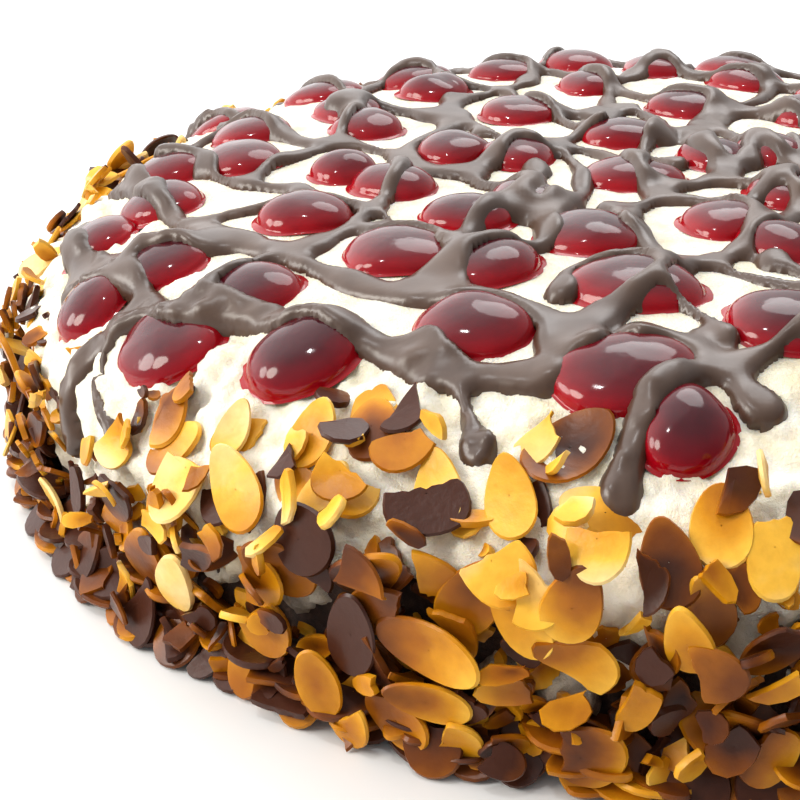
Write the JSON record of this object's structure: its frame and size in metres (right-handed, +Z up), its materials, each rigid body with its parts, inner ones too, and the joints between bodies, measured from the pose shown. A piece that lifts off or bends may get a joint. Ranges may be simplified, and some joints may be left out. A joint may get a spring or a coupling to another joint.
{
  "type": "cream cake",
  "caption": "Round cream cake on a dark sponge layer, topped with jellied cherries under a poured chocolate lattice, its side covered with toasted flaked almonds.",
  "frame": {"origin": "centre of the cake's underside, on the surface that it stands on", "axes": "+Z up along the cake's axis, -Y towards the near edge that the picture shows, +X to its right"},
  "size_m": [0.273, 0.273, 0.0567],
  "materials": {
    "sponge": "dull, open crumb",
    "cream": "soft satin, whipped",
    "cherry": "wet gloss, jellied"
  },
  "bodies": {
    "root": {"sponge": "sponge", "cream": "cream", "cherry_01": "cherry", "cherry_02": "cherry", "cherry_03": "cherry", "cherry_04": "cherry", "cherry_05": "cherry", "cherry_06": "cherry", "cherry_07": "cherry", "cherry_08": "cherry", "cherry_09": "cherry", "cherry_10": "cherry", "cherry_11": "cherry", "cherry_12": "cherry", "cherry_13": "cherry", "cherry_14": "cherry", "cherry_15": "cherry", "cherry_16": "cherry", "cherry_17": "cherry", "cherry_18": "cherry", "cherry_19": "cherry", "cherry_20": "cherry", "cherry_21": "cherry", "cherry_22": "cherry", "cherry_23": "cherry", "cherry_24": "cherry", "cherry_25": "cherry", "cherry_26": "cherry", "cherry_27": "cherry", "cherry_28": "cherry", "cherry_29": "cherry", "cherry_30": "cherry", "cherry_31": "cherry", "cherry_32": "cherry", "cherry_33": "cherry", "cherry_34": "cherry", "cherry_35": "cherry", "cherry_36": "cherry", "cherry_37": "cherry", "cherry_38": "cherry", "cherry_39": "cherry", "cherry_40": "cherry", "cherry_41": "cherry", "cherry_42": "cherry", "cherry_43": "cherry", "cherry_44": "cherry", "cherry_45": "cherry", "cherry_46": "cherry", "cherry_47": "cherry", "cherry_48": "cherry", "cherry_49": "cherry", "cherry_50": "cherry", "cherry_51": "cherry", "cherry_52": "cherry", "cherry_53": "cherry", "cherry_54": "cherry", "cherry_55": "cherry", "cherry_56": "cherry"}
  },
  "joints": []
}
